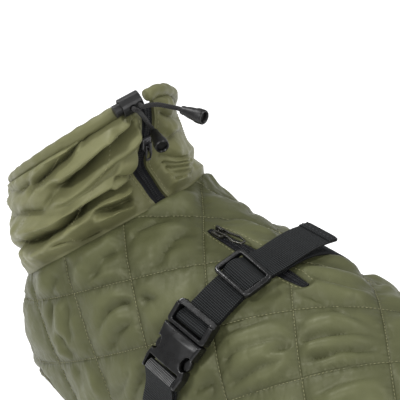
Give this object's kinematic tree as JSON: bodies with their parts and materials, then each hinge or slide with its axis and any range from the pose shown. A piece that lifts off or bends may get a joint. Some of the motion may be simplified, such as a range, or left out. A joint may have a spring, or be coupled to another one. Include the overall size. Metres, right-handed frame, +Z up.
{
  "type": "dog winter coat",
  "caption": "Quilted dog winter coat, worn with no wearer: saddle body with leash zip, tall scrunched collar with zip and draw cord, dark bound hem, girth strap with slide and buckle.",
  "frame": {"origin": "on the spine line under the girth strap, where the wearer's back carries the coat", "axes": "+Z up, -X towards the wearer's head, -Y the wearer's left side, which has the buckle"},
  "size_m": [0.5589, 0.1841, 0.2973],
  "materials": {
    "quilted_shell": "quilted, slightly shiny nylon",
    "binding": "rolled cloth binding, matte",
    "reflective_piping": "reflective, satin",
    "zip_tape": "woven tape, matte",
    "webbing": "ribbed webbing, matte",
    "cord": "braided, matte",
    "plastic": "moulded, satin",
    "metal": "worn nickel"
  },
  "bodies": {
    "coat": {"coat_body": "quilted_shell", "collar": "quilted_shell", "collar_rim": "quilted_shell", "back_zip_tape": "zip_tape", "collar_zip_tape": "zip_tape", "back_zip_slider": "metal", "collar_zip_slider": "plastic", "hem_binding": "binding", "hem_piping": "reflective_piping", "girth_strap": "webbing", "strap_slider": "plastic", "buckle_male": "plastic", "buckle_female": "plastic", "cord_lock_body": "plastic", "draw_cord_right": "cord", "cord_end_right": "plastic", "draw_cord_left": "cord", "cord_end_left": "plastic"},
    "back_zip_pull": {"back_zip_pull": "metal"},
    "collar_zip_pull": {"collar_zip_pull": "plastic"},
    "lock_button": {"cord_lock_plunger": "plastic"}
  },
  "joints": [
    {"name": "back_zip_pull_hinge", "type": "hinge", "parent": "coat", "child": "back_zip_pull", "pos_m": [-0.04824, 0, 0.00229], "axis": [0, -1, 0], "range_deg": [0, 150]},
    {"name": "collar_zip_pull_hinge", "type": "hinge", "parent": "coat", "child": "collar_zip_pull", "pos_m": [-0.10943, -0.00297, 0.03909], "axis": [-0.042, -0.9991, 0.008], "range_deg": [0, 150]},
    {"name": "lock_button_slide", "type": "slide", "parent": "coat", "child": "lock_button", "axis": [-0.2911, -0.9175, -0.2711], "range_m": [-0.002, 0], "stiffness_N_per_m": 500, "springref_m": 0.003}
  ]
}
